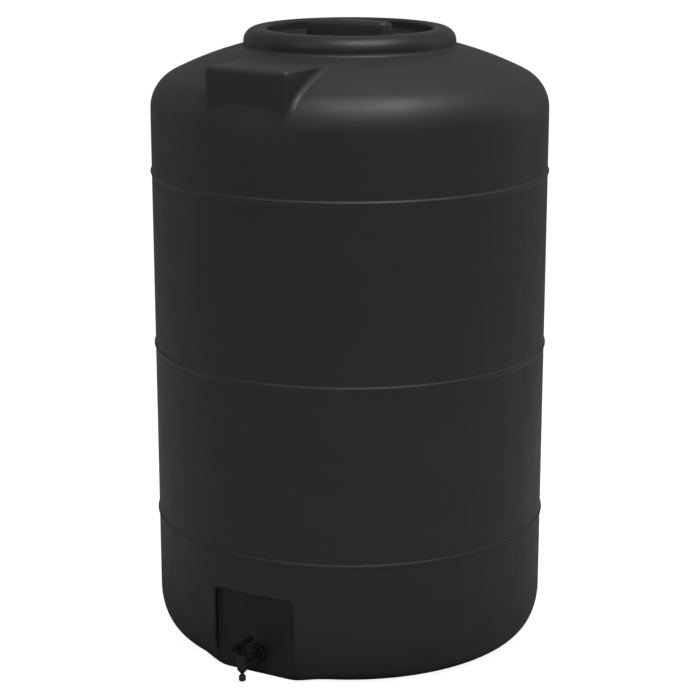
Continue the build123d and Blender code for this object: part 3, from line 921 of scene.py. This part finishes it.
# %% [markdown]
# ## The tap and the seals
#
# The tap is small in the photograph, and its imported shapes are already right: a nut, a housing with
# its cap, a T-handle and a nozzle. They could be built again as grids, but that would add nothing the
# eye can find, so each keeps its shape and gets the finish of its own moulding.

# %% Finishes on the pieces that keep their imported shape
finishes = {
    "lid_seal": seal_rubber, "tap_body": tap_plastic, "tap_outer_nut": tap_plastic,
    "tap_locknut": tap_plastic, "tap_cap": tap_plastic, "tap_plug": tap_plastic,
    "tap_handle": handle_plastic, "tap_nozzle": nozzle_plastic, "tap_outer_washer": seal_rubber,
    "tap_inner_washer": seal_rubber, "tap_stem_ring": seal_rubber, "tap_plug_rings": seal_rubber}
for name, material in finishes.items():
    nodes[name].data.materials.clear()
    nodes[name].data.materials.append(material)
    print(name, "is", material.name)

# %% [markdown]
# ## Stage and light
#
# The photograph is cut out on white. A wide floor shows white to the camera and keeps a faint contact
# shadow, and for the barrel's own gloss it is a grey that pales outwards. A soft box above and a
# little in front gives the bright band on the shoulder and the lid. A weak one high on the left and a
# wide one in front fill the wall, and two tall side boxes lift its edges: greenish on the left,
# bluish on the right. One strong lamp could give the same level, but black plastic is drawn by what
# it mirrors, so each band of light needs a box of its own.

# %% Floor
def empty_tree(owner):
    """Node tree of a material or a world, without the nodes that it starts with."""
    owner.use_nodes = True
    for node in list(owner.node_tree.nodes):
        owner.node_tree.nodes.remove(node)
    return owner.node_tree


# Seen in the barrel's gloss, the floor darkens towards the tank: painted shade round its foot.
floor_shade_near_tank, floor_pale, floor_seen = "#a4a4a4", "#dcdcdc", "#c8c8c8"
pale_from, pale_to = 0.42, 0.9
reach = 40.0

floor_material = bpy.data.materials.new("white_floor")
tree = empty_tree(floor_material)
place = add_node(tree, "ShaderNodeTexCoord").outputs["Object"]
out = add_node(tree, "ShaderNodeVectorMath", {"operation": "LENGTH"}, {0: place}).outputs["Value"]
paleness = add_node(tree, "ShaderNodeMapRange", None, {
    "Value": out, "From Min": pale_from, "From Max": pale_to, "To Min": 0.0, "To Max": 1.0})
tone = add_node(tree, "ShaderNodeMix", {"data_type": "RGBA"}, {
    "Factor": paleness.outputs["Result"], 6: srgb(floor_shade_near_tank), 7: srgb(floor_pale)})
matt = add_node(tree, "ShaderNodeBsdfDiffuse", None, {"Color": tone.outputs[2]})
seen = add_node(tree, "ShaderNodeBsdfDiffuse", None, {"Color": srgb(floor_seen)})
glow = add_node(tree, "ShaderNodeEmission", None, {"Color": (1, 1, 1, 1), "Strength": 0.9})
bright = add_node(tree, "ShaderNodeAddShader", None, {0: seen.outputs[0], 1: glow.outputs[0]})
to_camera = add_node(tree, "ShaderNodeLightPath").outputs["Is Camera Ray"]
mixed = add_node(tree, "ShaderNodeMixShader", None, {
    "Fac": to_camera, 1: matt.outputs[0], 2: bright.outputs[0]})
add_node(tree, "ShaderNodeOutputMaterial", None, {"Surface": mixed.outputs[0]})

floor_mesh = bpy.data.meshes.new("floor")
floor_corners = [(-reach, -reach, 0), (reach, -reach, 0), (reach, reach, 0), (-reach, reach, 0)]
floor_mesh.from_pydata(floor_corners, [], [(0, 1, 2, 3)])
floor_mesh.materials.append(floor_material)
floor = bpy.data.objects.new("floor", floor_mesh)
bpy.context.scene.collection.objects.link(floor)
print("floor", 2 * reach, "m across")

# %% World
room_tone, room_strength = "#b4b4b4", 0.5
world = bpy.data.worlds.new("studio")
bpy.context.scene.world = world
tree = empty_tree(world)
room = add_node(tree, "ShaderNodeBackground", None, {"Color": srgb(room_tone), "Strength": room_strength})
white = add_node(tree, "ShaderNodeBackground", None, {"Color": (1, 1, 1, 1), "Strength": 1.0})
to_camera = add_node(tree, "ShaderNodeLightPath").outputs["Is Camera Ray"]
mixed = add_node(tree, "ShaderNodeMixShader", None, {
    "Fac": to_camera, 1: room.outputs[0], 2: white.outputs[0]})
add_node(tree, "ShaderNodeOutputWorld", None, {"Surface": mixed.outputs[0]})
print("the room lights with", room_tone, "at", room_strength, "and the camera sees white")


# %% Lamps
def soft_box(name, place, target, size, power, colour):
    """Rectangular area lamp at a place, turned to face a target."""
    data = bpy.data.lights.new(name, "AREA")
    data.shape = "RECTANGLE"
    data.size, data.size_y = size
    data.energy = power
    data.color = srgb(colour)[:3]
    lamp = bpy.data.objects.new(name, data)
    bpy.context.scene.collection.objects.link(lamp)
    lamp.location = place
    lamp.rotation_euler = (Vector(target) - Vector(place)).to_track_quat("-Z", "Y").to_euler()
    return lamp


def around(right, near, up):
    """Place given as metres to the camera's right, towards the camera, and up."""
    x = right * cos(view_turn) + near * sin(view_turn)
    y = right * sin(view_turn) - near * cos(view_turn)
    return x, y, up


# Name, place as for around, height that it faces on the axis, width and height, watts, colour
lamps = (
    ("overhead", (0.55, 0.95, 3.6), 1.1, (1.6, 1.35), 58, "#fffdfb"),
    ("high_left", (-1.7, 1.5, 2.8), 1.0, (1.2, 1.2), 5, "#fffdf2"),
    ("front_fill", (0.8, 3.0, 3.2), 0.8, (2.8, 1.8), 9, "#fffaf4"),
    ("left_edge", (-2.6, -0.6, 1.3), 0.7, (0.8, 2.2), 1.6, "#fbfff0"),
    ("right_edge", (2.6, -0.8, 1.9), 0.9, (0.8, 2.4), 5.5, "#eef2ff"))
for name, place, aim, size, power, colour in lamps:
    soft_box(name, around(*place), (0, 0, aim), size, power, colour)
    print(name, size, "m,", power, "W")

# %% Colour management
bpy.context.scene.view_settings.view_transform = "Standard"
